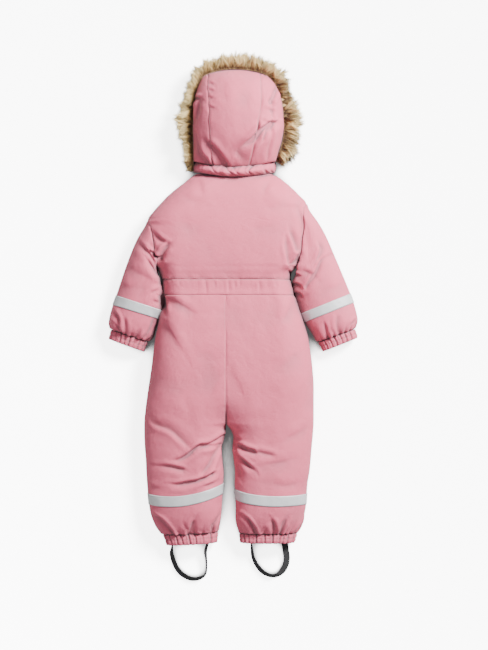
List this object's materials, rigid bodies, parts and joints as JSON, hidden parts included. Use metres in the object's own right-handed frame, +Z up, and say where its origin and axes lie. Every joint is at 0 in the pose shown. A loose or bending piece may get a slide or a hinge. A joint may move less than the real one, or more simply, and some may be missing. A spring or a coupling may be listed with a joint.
{
  "type": "baby snowsuit",
  "caption": "Padded one-piece snowsuit for a baby, lying on its front, with a fur-trimmed hood, gathered cuffs, reflective tapes and elastic foot straps.",
  "frame": {"origin": "on the surface that the suit lies on, under the middle of its outline", "axes": "+X across the suit towards its right sleeve as seen from above, +Y from the feet to the hood, +Z up, away from the surface"},
  "size_m": [0.5011, 1.0603, 0.1012],
  "materials": {
    "shell_fabric": "matte dusty pink woven shell over padding",
    "reflective_tape": "satin silver grey reflective tape",
    "fur": "long soft imitation fur, blond with brown roots",
    "black_elastic": "matte ribbed black elastic"
  },
  "bodies": {
    "root": {"upper_back": "shell_fabric", "waistband_back": "shell_fabric", "left_leg_back": "shell_fabric", "right_leg_back": "shell_fabric", "left_front": "shell_fabric", "right_front": "shell_fabric", "front_placket": "shell_fabric", "collar": "shell_fabric", "left_sleeve": "shell_fabric", "right_sleeve": "shell_fabric", "left_cuff": "shell_fabric", "right_cuff": "shell_fabric", "left_hem": "shell_fabric", "right_hem": "shell_fabric", "left_sleeve_tape": "reflective_tape", "right_sleeve_tape": "reflective_tape", "left_leg_tape": "reflective_tape", "right_leg_tape": "reflective_tape", "hood_centre": "shell_fabric", "hood_left_side": "shell_fabric", "hood_right_side": "shell_fabric", "hood_edge": "shell_fabric", "hood_band": "shell_fabric", "fur_trim": "fur", "left_foot_strap": "black_elastic", "right_foot_strap": "black_elastic"}
  },
  "joints": []
}
